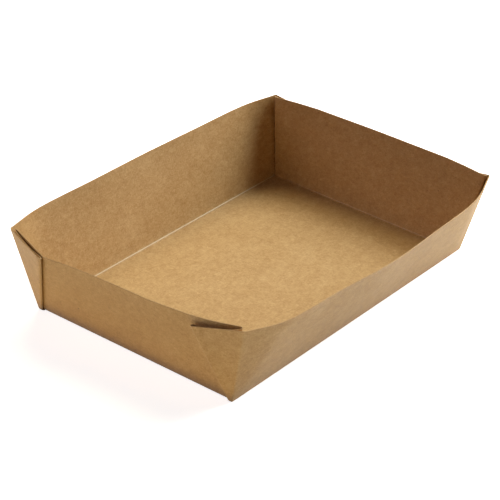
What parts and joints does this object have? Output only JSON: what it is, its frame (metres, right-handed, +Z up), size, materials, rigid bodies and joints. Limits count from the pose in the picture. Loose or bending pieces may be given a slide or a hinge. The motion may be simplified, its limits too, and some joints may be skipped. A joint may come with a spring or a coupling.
{
  "type": "cardboard tray box",
  "caption": "Shallow open tray folded from one sheet of brown paperboard, with flared, bowed walls and a doubled web flap laid outside the end wall at each corner.",
  "frame": {"origin": "centre of the floor's underside", "axes": "+X along the floor's long sides, +Y along its short sides, +Z up out of the open top"},
  "size_m": [0.2086, 0.1461, 0.0426],
  "materials": {
    "kraft_board": "matte"
  },
  "bodies": {
    "root": {"folded_tray": "kraft_board"}
  },
  "joints": []
}
